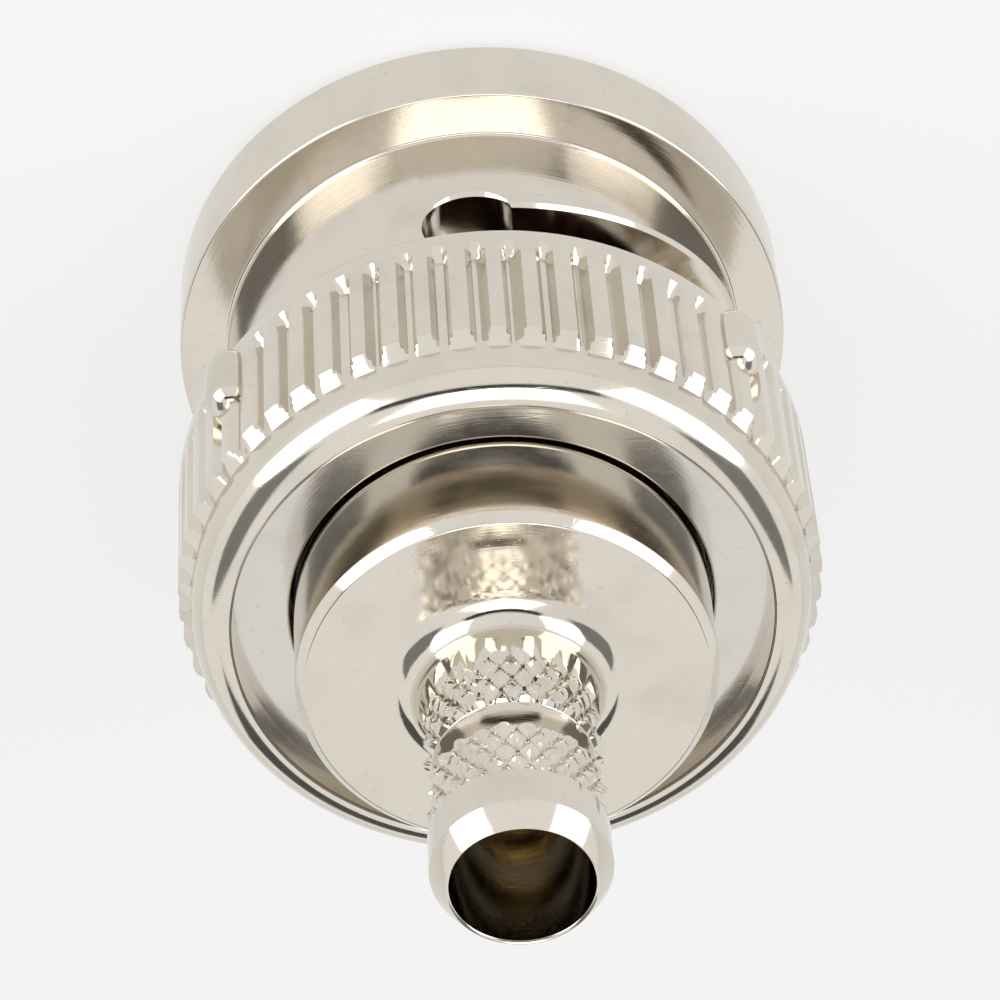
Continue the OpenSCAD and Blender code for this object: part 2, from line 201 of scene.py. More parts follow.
def turned(name, section, sides, closed=True):
    """Turns a section of (radius, height) points in mm: a ring is added, extruded and resized to each."""
    nothing_selected()
    r, z = section[0]
    bpy.ops.mesh.primitive_circle_add(vertices=sides, radius=r * MM, location=(0, 0, z * MM))
    piece = named(name)
    bpy.ops.object.mode_set(mode="EDIT")
    bpy.ops.mesh.select_mode(type="VERT")
    bpy.ops.mesh.select_all(action="SELECT")
    for next_r, next_z in section[1:] + (section[:1] if closed else []):
        bpy.ops.mesh.extrude_region_move(TRANSFORM_OT_translate={"value": (0, 0, (next_z - z) * MM)})
        if abs(next_r - r) > 1e-7:
            bpy.ops.transform.resize(value=(next_r / r, next_r / r, 1), center_override=(0, 0, 0))
        r, z = next_r, next_z
    if not closed:
        bpy.ops.mesh.edge_face_add()
        bpy.ops.mesh.select_all(action="DESELECT")
        bpy.ops.mesh.select_non_manifold()
        bpy.ops.mesh.edge_face_add()
    bpy.ops.mesh.select_all(action="SELECT")
    bpy.ops.mesh.remove_doubles(threshold=1e-7)
    bpy.ops.mesh.normals_make_consistent(inside=False)
    bpy.ops.mesh.select_all(action="DESELECT")
    bpy.ops.object.mode_set(mode="OBJECT")
    return settled(piece)


def pick(piece, chosen):
    """Selects the vertices with the given numbers and nothing else, and enters edit mode."""
    active(piece)
    mesh = piece.data
    mesh.polygons.foreach_set("select", [False] * len(mesh.polygons))
    mesh.edges.foreach_set("select", [False] * len(mesh.edges))
    flags = [False] * len(mesh.vertices)
    for number in chosen:
        flags[number] = True
    mesh.vertices.foreach_set("select", flags)
    bpy.ops.object.mode_set(mode="EDIT")
    bpy.ops.mesh.select_mode(type="VERT")


def pressed(piece, target, steps=0.004):
    """Resizes groups of vertices about the axis so that each reaches its target radius in mm.

    target gets a vertex's angle, radius and height, and gives the new radius or None.
    """
    groups = {}
    for vertex in piece.data.vertices:
        x, y, z = vertex.co / MM
        r = math.hypot(x, y)
        wanted = target(math.atan2(y, x) % TAU, r, z)
        if wanted is not None and abs(wanted - r) > 1e-5:
            groups.setdefault(round(wanted / r / steps * 10), []).append(vertex.index)
    for step, chosen in sorted(groups.items()):
        scale = step * steps / 10
        pick(piece, chosen)
        bpy.ops.transform.resize(value=(scale, scale, 1), center_override=(0, 0, 0))
        bpy.ops.object.mode_set(mode="OBJECT")
    return piece


def around(piece, angle, name):
    """A copy with its own mesh, turned about the plug's axis."""
    copy = piece.copy()
    copy.data = piece.data.copy()
    copy.name = copy.data.name = name
    bpy.context.collection.objects.link(copy)
    copy.matrix_world = Matrix.Rotation(angle, 4, "Z") @ copy.matrix_world
    return settled(copy)


def cut_away(piece, cutter, operation="DIFFERENCE"):
    """Subtracts the cutter with a modifier, applies it and deletes the cutter."""
    active(piece)
    cut = piece.modifiers.new("cut", "BOOLEAN")
    cut.operation = operation
    cut.solver = "EXACT"
    cut.object = cutter
    bpy.ops.object.modifier_apply(modifier=cut.name)
    bpy.data.objects.remove(cutter)
    return piece


def smooth(piece, degrees=32):
    active(piece)
    bpy.ops.object.shade_smooth_by_angle(angle=math.radians(degrees))
    return piece


def placed(piece, node, body, finish):
    """Smooths a piece, gives it its finish and body, and lets it stand for its CAD node."""
    smooth(piece)
    piece.data.materials.clear()
    piece.data.materials.append(finish)
    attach(piece, body)
    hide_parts(node)
    return piece


# ------------------------------------------------------------------ finishes

class Reading:
    """A node's output that Python's operators can work on."""

    def __init__(self, finish, socket):
        self.finish = finish
        self.socket = socket

    def _maths(self, operation, *values):
        return self.finish.node("ShaderNodeMath", {"operation": operation}, *values)

    def __add__(self, other):
        return self._maths("ADD", self, other)

    def __mul__(self, other):
        return self._maths("MULTIPLY", self, other)

    def __pow__(self, other):
        return self._maths("POWER", self, other)

    __radd__ = __add__
    __rmul__ = __mul__

    def between(self, low, high):
        """0 below low, 1 above high, smooth in between."""
        return self.finish.node("ShaderNodeMapRange", {"interpolation_type": "SMOOTHSTEP"}, self, low, high)


class Finish:
    """A procedural material under construction."""

    def __init__(self, name):
        self.material = bpy.data.materials.new(name)
        self.material.use_nodes = True
        self.tree = self.material.node_tree
        self.shader = self.tree.nodes["Principled BSDF"]
        self.place = self.node("ShaderNodeTexCoord", output="Object")

    def node(self, kind, settings=None, *values, output=None, **named_values):
        """Adds a node: its settings first, then values or links for its sockets in order or by name."""
        node = self.tree.nodes.new(kind)
        for key, value in (settings or {}).items():
            setattr(node, key, value)
        sockets = [s for s in node.inputs if s.enabled]
        pairs = list(zip(sockets, values))
        pairs += [(next(s for s in sockets if s.name == key.replace("_", " ")), value)
                  for key, value in named_values.items()]
        for socket, value in pairs:
            self.set(socket, value)
        outputs = [s for s in node.outputs if s.enabled]
        return Reading(self, node.outputs[output] if output else outputs[0])

    def set(self, socket, value):
        if isinstance(value, Reading):
            self.tree.links.new(value.socket, socket)
        else:
            socket.default_value = value

    def surface(self, **values):
        """Sets the shader's own sockets."""
        for key, value in values.items():
            self.set(self.shader.inputs[key.replace("_", " ")], value)

    def mixed(self, amount, one, other):
        return self.node("ShaderNodeMix", {"data_type": "RGBA"}, amount, one, other)

    def noise(self, scale, detail=2.0, where=None, roughness=0.5):
        return self.node("ShaderNodeTexNoise", None, where or self.place, output="Fac",
                         Scale=scale, Detail=detail, Roughness=roughness)

    def stretched(self, scale):
        """Object coordinates, scaled per axis."""
        return self.node("ShaderNodeMapping", None, self.place, Scale=scale)

    def polar(self, per_radius, per_height):
        """Coordinates that run along the radius and the height only, for turning marks."""
        x_y_z = self.node("ShaderNodeSeparateXYZ", None, self.place)
        parts = x_y_z.socket.node.outputs
        x, y, z = (Reading(self, parts[axis]) for axis in "XYZ")
        radius = (x * x + y * y) ** 0.5
        return self.node("ShaderNodeCombineXYZ", None, radius * per_radius, 0.0, z * per_height)

    def bumps(self, height, strength, distance):
        return self.node("ShaderNodeBump", None, Strength=strength, Distance=distance, Height=height)


def plated(name, base, wear, roughness=0.09, marks=1.0, tint=0.82):
    """Bright plating over turned metal: tool marks, fine scratches, haze and darker cloudy patches."""
    finish = Finish(name)
    cloud = finish.noise(620.0, 3.0)
    haze = finish.noise(2600.0, 4.0)
    lines = finish.noise(1.0, 3.0, finish.polar(24000.0, 24000.0))
    scratch_a = finish.noise(1.0, 2.0, finish.stretched((9000.0, 9000.0, 700.0)))
    scratch_b = finish.noise(1.0, 2.0, finish.stretched((900.0, 7000.0, 9000.0)))
    scratches = scratch_a.between(0.62, 0.74) + scratch_b.between(0.64, 0.76)
    speck = finish.noise(4300.0, 1.0).between(0.70, 0.76)
    dull = tuple(c * tint for c in base)
    finish.surface(
        Base_Color=finish.mixed(cloud.between(0.42, 0.78) * 0.5 + speck * 0.35, (*base, 1.0), (*dull, 1.0)),
        Metallic=1.0,
        Roughness=haze.between(0.3, 0.8) * (0.07 * wear) + scratches * (0.05 * wear) + roughness,
        Normal=finish.bumps(lines * 0.5 + scratches * (-0.25) + haze * 0.2, 0.10 * marks, 0.00002),
    )
    return finish.material


def moulded(name, base, roughness, grain, coat=0.0):
    """Matt moulded plastic or rubber with a fine grain and faint mottling."""
    finish = Finish(name)
    cloud = finish.noise(900.0, 3.0)
    dust = finish.noise(grain, 2.0)
    shade = tuple(c * 0.86 for c in base)
    finish.surface(
        Base_Color=finish.mixed(cloud.between(0.35, 0.75), (*base, 1.0), (*shade, 1.0)),
        Roughness=dust * 0.12 + roughness,
        Coat_Weight=coat,
        Normal=finish.bumps(dust + cloud * 0.5, 0.25, 0.00003),
    )
    return finish.material


def finishes():
    """The plug's finishes, made once."""
    wanted = bpy.context.scene.plug_finishes
    wear = wanted.wear
    makers = {
        "nut_plating": lambda n: plated(n, wanted.nickel, wear, 0.10),
        "body_plating": lambda n: plated(n, wanted.nickel, wear, 0.08),
        "contact_plating": lambda n: plated(n, wanted.nickel, wear, 0.16),
        "washer_plating": lambda n: plated(n, wanted.washer, wear, 0.12),
        "spring_steel": lambda n: plated(n, wanted.steel, wear, 0.22, 2.0),
        "pin_plating": lambda n: plated(n, wanted.gold, wear, 0.14, 1.0, 0.9),
        "gasket_rubber": lambda n: moulded(n, wanted.rubber, 0.48, 5200.0),
        "insulator_plastic": lambda n: moulded(n, wanted.plastic, 0.36, 3800.0, 0.1),
    }
    return {name: bpy.data.materials.get(name) or make(name) for name, make in makers.items()}


# ------------------------------------------------------------------ coupling nut

class PLUG_OT_nut_sleeve(bpy.types.Operator):
    """Rim and neck of the coupling nut, with its bayonet slots"""
    bl_idname = "plug.nut_sleeve"
    bl_label = "Nut sleeve"

    def execute(self, context):
        nut, slots = context.scene.plug_nut, context.scene.plug_slots
        rim, rim_end, neck, shoulder, socket = mm(
            nut, "rim_radius", "rim_end", "neck_radius", "shoulder", "socket_radius")
        sleeve = turned("nut_sleeve", softened([
            (socket, 0.3, 0.06), (socket + 0.3, 0, 0.06), (rim - 0.3, 0, 0.1), (rim, 0.3, 0.1),
            (rim, rim_end, 0.07), (neck, rim_end, 0.1), (neck, shoulder + 0.02, 0),
            (socket, shoulder + 0.02, 0),
        ]), 320)
        self.cut_slots(sleeve, slots, nut)
        placed(sleeve, "coupling_nut", "nut", finishes()["nut_plating"])
        return {"FINISHED"}

    def cut_slots(self, sleeve, slots, nut):
        width, low, rise, drop, detent, groove, edge = mm(
            slots, "width", "low", "rise", "drop", "detent", "groove", "edge")
        neck, socket = mm(nut, "neck_radius", "socket_radius")
        inside = socket - 0.35
        lug_room = 0.05
        high = low + rise
        for i in range(2):
            start = nut.turn + i * math.pi
            cut_away(sleeve, self.cam(start, width / 2, low, rise, inside, neck, edge))
            cut_away(sleeve, self.plunge(start, low, width / 2, inside, neck, edge))
            cut_away(sleeve, self.plunge(start + math.pi / 2, high, width / 2, inside, neck, edge))
            cut_away(sleeve, self.plunge(start + math.pi / 2, high - drop, detent, inside, neck, edge))
            cut_away(sleeve, self.entry(start, width / 2 + lug_room, low, inside, groove))

    def cam(self, start, half, low, rise, inner, outer, edge, steps=45):
        """Cutter that climbs from the entry groove to the detent, flared where it leaves the neck."""
        nothing_selected()
        bpy.ops.mesh.primitive_plane_add(size=1, location=(0, 0, low * MM), rotation=(math.pi / 2, 0, 0))
        cutter = settled(named("cam_cutter"))
        section = [(inner, -half), (inner, half), (outer - edge, half), (outer + 0.02, half + edge),
                   (outer + 0.6, half + edge), (outer + 0.6, -half - edge), (outer + 0.02, -half - edge),
                   (outer - edge, -half)]
        bpy.ops.object.mode_set(mode="EDIT")
        bpy.ops.mesh.select_mode(type="VERT")
        bpy.ops.mesh.select_all(action="SELECT")
        bpy.ops.mesh.delete(type="VERT")
        bpy.ops.mesh.primitive_circle_add(vertices=8, radius=MM, fill_type="NGON")
        bpy.ops.object.mode_set(mode="OBJECT")
        for number, (r, z) in zip(cutter.data.polygons[0].vertices, section):
            cutter.data.vertices[number].co = Vector((r, 0, low + z)) * MM
        bpy.ops.object.mode_set(mode="EDIT")
        bpy.ops.mesh.select_all(action="SELECT")
        step = math.pi / 2 / steps
        for k in range(steps):
            climb = rise * (math.sin((k + 1) * step) - math.sin(k * step))
            bpy.ops.mesh.extrude_region_move(TRANSFORM_OT_translate={"value": (0, 0, climb * MM)})
            bpy.ops.transform.rotate(value=-step, orient_axis="Z", center_override=(0, 0, 0))
        bpy.ops.mesh.select_all(action="SELECT")
        bpy.ops.mesh.normals_make_consistent(inside=False)
        bpy.ops.object.mode_set(mode="OBJECT")
        cutter.matrix_world = Matrix.Rotation(start, 4, "Z")
        return settled(cutter)

    def plunge(self, angle, height, radius, inner, outer, edge):
        """Round cutter square to the neck, flared where it leaves it."""
        nothing_selected()
        bpy.ops.mesh.primitive_cylinder_add(
            vertices=64, radius=radius * MM, depth=(outer - edge - inner) * MM,
            location=(0, 0, (outer - edge + inner) / 2 * MM))
        cutter = settled(named("plunge_cutter"))
        top = (outer - edge) * MM - 1e-6
        pick(cutter, [v.index for v in cutter.data.vertices if v.co.z > top])
        for grow, lift in (((radius + edge) / radius, edge + 0.02), (1.0, 0.6)):
            bpy.ops.mesh.extrude_region_move(TRANSFORM_OT_translate={"value": (0, 0, lift * MM)})
            bpy.ops.transform.resize(value=(grow, grow, 1), center_override=(0, 0, 0))
        bpy.ops.object.mode_set(mode="OBJECT")
        cutter.matrix_world = (Matrix.Translation((0, 0, height * MM)) @ Matrix.Rotation(angle, 4, "Z")
                               @ Matrix.Rotation(math.pi / 2, 4, "Y"))
        return settled(cutter)

    def entry(self, angle, half, top, inner, reach):
        """Cutter for the groove that a lug enters by, inside the rim."""
        nothing_selected()
        bpy.ops.mesh.primitive_cylinder_add(
            vertices=320, radius=reach * MM, depth=(top + 1) * MM, location=(0, 0, (top - 1) / 2 * MM))
        cutter = settled(named("entry_cutter"))
        nothing_selected()
        bpy.ops.mesh.primitive_cube_add(
            size=1, location=((inner + 2) * MM, 0, (top - 1) / 2 * MM),
            scale=(4 * MM, 2 * half * MM, (top + 3) * MM))
        cut_away(cutter, settled(named("entry_width")), "INTERSECT")
        cutter.matrix_world = Matrix.Rotation(angle, 4, "Z")
        return settled(cutter)


class PLUG_OT_nut_collar(bpy.types.Operator):
    """Knurled collar of the coupling nut, with its washer chamber and rolled lip"""
    bl_idname = "plug.nut_collar"
    bl_label = "Nut collar"

    per_tooth = 12

    def execute(self, context):
        nut = context.scene.plug_nut
        crest, shoulder, start, end, depth = mm(
            nut, "rim_radius", "shoulder", "knurl_start", "knurl_end", "knurl_depth")
        lip_z, lip_r, socket, chamber, floor, top, hole = mm(
            nut, "lip_centre", "lip_round", "socket_radius", "chamber_radius", "chamber_floor",
            "chamber_top", "lip_hole")
        root = crest - depth
        heights = [start, start + 0.1, start + 0.2, start + 0.3, start + 0.36, end - 0.42, end - 0.32]
        section = softened([(socket, shoulder, 0), (crest, shoulder, 0.2), (crest, start - 0.02, 0)])
        section += [(crest, z) for z in heights]
        section += [(crest - depth * t, end - 0.3 * (1 - t)) for t in (0, 0.33, 0.67, 1)]
        section += [(root, end + 0.06)] + arc(root - lip_r, lip_z, lip_r, 0, 84, 22)
        section += arc(hole + 0.09, lip_z + lip_r - 0.1, 0.09, 88, 180, 5)
        section += softened([(hole, top, 0.03), (chamber, top, 0.03), (chamber, floor, 0.05),
                             (socket, floor, 0.05)], 3)
        sides = nut.teeth * self.per_tooth
        collar = turned("nut_collar", section, sides)
        self.knurl(collar, nut.teeth, nut.turn, crest, root, start, end)
        placed(collar, "coupling_nut", "nut", finishes()["nut_plating"])
        return {"FINISHED"}

    def knurl(self, collar, teeth, turn, crest, root, start, end):
        """Presses flat-bottomed grooves into the collar; no two teeth are quite alike."""
        dice = random.Random(11)
        profiles = []
        for _ in range(teeth):
            lean = dice.choice((0, 0, 0, 1, 2))
            row = [0, 0, 0, 0.04, 0.55, 0.96, 1, 0.96, 0.55, 0.04, 0, 0]
            if lean == 1:
                row[3], row[4] = 0.3, 0.8
            if lean == 2:
                row[9], row[8], row[10] = 0.4, 0.85, 0.05
            low = dice.uniform(0.82, 1.0)
            profiles.append([v * low for v in row])
        per = self.per_tooth

        def target(angle, r, z):
            if r < root - 0.01 or not start - 0.01 < z < end - 0.01:
                return None
            step = round((angle - turn) / TAU * teeth * per) % (teeth * per)
            tooth, k = divmod((step + per // 2) % (teeth * per), per)
            groove = profiles[tooth][(k + per // 2) % per]
            run_out = min(1.0, max(0.0, (z - start) / 0.3))
            return min(r, crest - (crest - root) * groove * run_out)

        pressed(collar, target)


class PLUG_OT_grip_pips(bpy.types.Operator):
    """Half-round grip pips on the collar's front edge"""
    bl_idname = "plug.grip_pips"
    bl_label = "Grip pips"

    wide, high, long = 1.1, 0.4, 2.0
    spread = 53.4

    def execute(self, context):
        nut = context.scene.plug_nut
        crest, shoulder = mm(nut, "rim_radius", "shoulder")
        wide, high, long = self.wide, self.high, self.long
        radius = ((wide / 2) ** 2 + high ** 2) / (2 * high)
        nothing_selected()
        bpy.ops.mesh.primitive_uv_sphere_add(
            segments=48, ring_count=32, radius=radius * MM,
            location=((crest + high - radius) * MM, 0, (shoulder + 0.06 + radius) * MM))
        pip = settled(named("grip_pip_0"))
        middle = (shoulder + 0.06 + radius) * MM
        pick(pip, [v.index for v in pip.data.vertices if v.co.z > middle + 1e-6])
        bpy.ops.transform.translate(value=(0, 0, (long - 2 * radius) * MM))
        bpy.ops.object.mode_set(mode="OBJECT")
        placed(pip, "coupling_nut", "nut", finishes()["nut_plating"])
        angles = [nut.turn + math.radians(90 + side * self.spread) + i * math.pi
                  for i in range(2) for side in (-1, 1)]
        for number, angle in enumerate(angles[1:], 1):
            copy = around(pip, angle, "grip_pip_%d" % number)
            placed(copy, "coupling_nut", "nut", finishes()["nut_plating"])
        pip.matrix_world = Matrix.Rotation(angles[0], 4, "Z")
        settled(pip)
        return {"FINISHED"}


# ------------------------------------------------------------------ washers and gasket

class PLUG_OT_washers(bpy.types.Operator):
    """Thrust washer under the lip and the two wave washers below it"""
    bl_idname = "plug.washers"
    bl_label = "Washers"

    def execute(self, context):
        coats = finishes()
        low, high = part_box("thrust_washer")
        barrel = mm(context.scene.plug_body, "barrel_radius")
        outer = high.x / MM
        thrust = turned("thrust_ring", softened([
            (barrel + 0.08, low.z / MM, 0.04), (outer, low.z / MM, 0.04), (outer, high.z / MM, 0.04),
            (barrel + 0.08, high.z / MM, 0.08)]), 256)
        placed(thrust, "thrust_washer", "washer", coats["washer_plating"])
        for node, phase in (("wave_washer_front", 0.0), ("wave_washer_rear", math.pi / 3)):
            ring = self.wave_ring(node, phase, barrel + 0.16)
            placed(ring, node, "plug", coats["spring_steel"])
            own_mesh(ring)
        return {"FINISHED"}

    def wave_ring(self, node, phase, inner, waves=3, thick=0.2, steps=144):
        low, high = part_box(node)
        middle, outer = (low.z + high.z) / 2 / MM, high.x / MM
        swing = ((high.z - low.z) / MM - thick) / 2
        ring = turned(node.replace("washer", "ring"), softened([
            (inner, middle - thick / 2, 0.03), (outer, middle - thick / 2, 0.03),
            (outer, middle + thick / 2, 0.03), (inner, middle + thick / 2, 0.03)], 2), steps)
        groups = {}
        for vertex in ring.data.vertices:
            angle = math.atan2(vertex.co.y, vertex.co.x)
            groups.setdefault(round(math.cos(waves * (angle - phase)), 4), []).append(vertex.index)
        for lift, chosen in groups.items():
            pick(ring, chosen)
            bpy.ops.transform.translate(value=(0, 0, lift * swing * MM))
            bpy.ops.object.mode_set(mode="OBJECT")
        return ring


class PLUG_OT_gasket(bpy.types.Operator):
    """Silicone gasket in front of the body's flange"""
    bl_idname = "plug.gasket"
    bl_label = "Gasket"

    def execute(self, context):
        low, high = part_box("gasket")
        inner, outer, bottom, top = 3.88, high.x / MM, low.z / MM, high.z / MM
        ring = turned("gasket_ring", softened([
            (inner, bottom, 0.18), (outer, bottom, 0.18), (outer, top, 0.1), (inner, top, 0.1)]), 192)
        placed(ring, "gasket", "plug", finishes()["gasket_rubber"])
        return {"FINISHED"}


# ------------------------------------------------------------------ plug body

class PLUG_OT_body_barrel(bpy.types.Operator):
    """Barrel of the plug body, with its flange and end face"""
    bl_idname = "plug.body_barrel"
    bl_label = "Body barrel"

    def execute(self, context):
        body = context.scene.plug_body
        barrel, top, flange, flange_top = mm(
            body, "barrel_radius", "barrel_top", "flange_radius", "flange_top")
        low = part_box("plug_body")[0].z / MM
        piece = turned("body_barrel", softened([
            (3.85, low, 0.04), (flange, low, 0.06), (flange, flange_top, 0.06), (barrel, flange_top, 0.08),
            (barrel, top - 0.2, 0.06), (barrel - 0.2, top, 0.06), (1.9, top, 0), (1.9, top - 0.8, 0),
            (3.5, top - 0.8, 0.05), (3.5, low + 2, 0.02), (3.85, low + 2, 0.02)]), 320)
        placed(piece, "plug_body", "plug", finishes()["body_plating"])
        return {"FINISHED"}


class PLUG_OT_crimp_stem(bpy.types.Operator):
    """Crimp stem with its foot fillet, two diamond knurls and bevelled tip"""
    bl_idname = "plug.crimp_stem"
    bl_label = "Crimp stem"

    pyramids = 22
    bands = ((16.19, 17.74), (18.64, 20.19))
    rows = 4

    def execute(self, context):
        body = context.scene.plug_body
        stem, bore, foot, top, fillet, depth = mm(
            body, "stem_radius", "stem_bore", "barrel_top", "stem_top", "fillet", "pyramid_depth")
        (a, b), (c, d) = self.bands
        core = stem - depth
        section = [(stem + fillet, foot - 0.05)]
        section += arc(stem + fillet, foot + fillet, fillet, 270, 180, 16)
        section += self.ladder(stem, a, b)
        section += softened([(stem, b + 0.001, 0), (core, b + 0.06, 0.04), (core, c - 0.06, 0.04),
                             (stem, c - 0.001, 0)], 3)[1:-1]
        section += self.ladder(stem, c, d)
        section += softened([(stem, d + 0.02, 0), (stem, top - 0.55, 0.05), (bore + 0.06, top, 0.02),
                             (bore, top - 0.05, 0.02), (bore, foot - 0.8, 0), (2.0, foot - 0.8, 0),
                             (2.0, foot - 0.05, 0)], 3)
        piece = turned("crimp_stem", section, self.pyramids * 12)
        self.diamonds(piece, stem, depth)
        placed(piece, "plug_body", "plug", finishes()["body_plating"])
        return {"FINISHED"}

    def ladder(self, radius, low, high):
        count = self.rows * 5
        return [(radius, low + (high - low) * k / count) for k in range(count + 1)]

    def diamonds(self, piece, stem, depth):
        """Presses crossed helical grooves; the pyramids between them are blunt and uneven."""
        dice = random.Random(5)
        blunt = {}

        def target(angle, r, z):
            band = next((i for i, (a, b) in enumerate(self.bands) if a - 1e-4 <= z <= b + 1e-4), None)
            if band is None or r < stem - 0.01:
                return None
            low, high = self.bands[band]
            u = angle / TAU * self.pyramids * 2
            v = (z - low) / (high - low) * self.rows
            across, along = abs((u + v) % 2 - 1), abs((u - v) % 2 - 1)
            i, j = round((u + v) / 2), round((u - v) / 2)
            key = (band, i % (self.pyramids * 2), j % (self.pyramids * 2))
            if key not in blunt:
                blunt[key] = (dice.uniform(0.35, 0.95), dice.uniform(0.0, 0.35), dice.uniform(-0.25, 0.25))
            cap, sunk, tilt = blunt[key]
            height = min(across, along, cap) * (1 + tilt * (across - along)) - sunk * 0.25
            return stem - depth * (1 - max(0.0, min(1.0, height / 0.8)))

        pressed(piece, target, 0.03)


# ------------------------------------------------------------------ contacts and insulators

class PLUG_OT_outer_contact(bpy.types.Operator):
    """Slotted spring sleeve of the outer contact"""
    bl_idname = "plug.outer_contact"
    bl_label = "Outer contact"

    def execute(self, context):
        low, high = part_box("outer_contact")
        front, end, outer = low.z / MM, high.z / MM, 4.05
        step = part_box("gasket")[0].z / MM
        sleeve = turned("contact_sleeve", softened([
            (3.5, front, 0.12), (outer, front, 0.2), (outer, step, 0.04), (outer - 0.2, step, 0.02),
            (outer - 0.2, end, 0.08), (3.5, end, 0.02)]), 240)
        for i in range(2):
            nothing_selected()
            bpy.ops.mesh.primitive_cube_add(size=1, location=(0, 0, (step - 0.7) / 2 * MM),
                                            rotation=(0, 0, math.radians(45 + 90 * i)),
                                            scale=(9 * MM, 0.5 * MM, (step - 0.7) * MM))
            saw = settled(named("saw"))
            top = max(v.co.z for v in saw.data.vertices) - 1e-6
            pick(saw, [v.index for v in saw.data.vertices if v.co.z > top])
            bpy.ops.mesh.bevel(offset=0.2 * MM, segments=4, affect="EDGES")
            bpy.ops.object.mode_set(mode="OBJECT")
            cut_away(sleeve, saw)
        placed(sleeve, "outer_contact", "plug", finishes()["contact_plating"])
        return {"FINISHED"}


class PLUG_OT_insulators(bpy.types.Operator):
    """Front and rear insulators"""
    bl_idname = "plug.insulators"
    bl_label = "Insulators"

    def execute(self, context):
        plastic = finishes()["insulator_plastic"]
        low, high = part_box("front_insulator")
        nose, back = low.z / MM, high.z / MM
        front = turned("insulator_front", softened([
            (0.71, nose, 0.08), (2.1, nose, 0.1), (2.35, nose + 0.25, 0.1), (2.35, back - 3.2, 0.12),
            (3.49, back - 3.2, 0.1), (3.49, back, 0), (1.08, back, 0), (1.08, 9.19, 0),
            (0.71, 9.19, 0)]), 160)
        placed(front, "front_insulator", "plug", plastic)
        low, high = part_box("rear_insulator")
        rear = turned("insulator_rear", softened([
            (1.08, low.z / MM, 0), (3.49, low.z / MM, 0), (3.49, high.z / MM, 0.05),
            (1.08, high.z / MM, 0.1)]), 160)
        placed(rear, "rear_insulator", "plug", plastic)
        return {"FINISHED"}


class PLUG_OT_centre_contact(bpy.types.Operator):
    """Gold-plated centre contact: mating pin, crimp barrel and peep hole"""
    bl_idname = "plug.centre_contact"
    bl_label = "Centre contact"

    def execute(self, context):
        low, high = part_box("centre_contact")
        tip, end = low.z / MM, high.z / MM
        pin, barrel, bore, shoulder = 0.675, 1.05, 0.5, end - 5
        section = arc(0, tip + 0.3, 0.3, -86, 0, 8)
        section += softened([(0.3, tip + 0.3, 0), (pin, tip + 0.8, 0.3), (pin, shoulder, 0.06),
                             (barrel, shoulder, 0.08), (barrel, end, 0.12), (bore, end, 0.08),
                             (bore, end - 3.4, 0.05), (0.02, end - 3.65, 0)], 4)[1:]
        contact = turned("centre_pin", section, 96, closed=False)
        nothing_selected()
        bpy.ops.mesh.primitive_cylinder_add(vertices=32, radius=0.25 * MM, depth=1.4 * MM,
                                            location=(0, 0.7 * MM, (end - 2.9) * MM),
                                            rotation=(math.pi / 2, 0, 0))
        cut_away(contact, settled(named("peep_drill")))
        placed(contact, "centre_contact", "plug", finishes()["pin_plating"])
        return {"FINISHED"}


# ------------------------------------------------------------------ stage

# name, place, width and brightness of the square lamps
LAMPS = (
    ("left_softbox", (0.16, -0.09, 0.085), 0.15, 1.8),
    ("right_softbox", (-0.16, -0.09, 0.085), 0.15, 1.8),
    ("top_softbox", (0.0, -0.05, 0.20), 0.11, 1.8),
)
# name, place, width, height and brightness of the cards round the plug
CARDS = (
    ("camera_card", (0.004, -0.0736, 0.109), 0.13, 0.024, 0.03),
    ("left_card", (0.11, 0.027, 0.112), 0.10, 0.08, 0.25),
    ("right_card", (-0.11, 0.027, 0.112), 0.10, 0.08, 0.25),
    ("low_card", (0.0, 0.128, 0.075), 0.16, 0.07, 0.1),
)


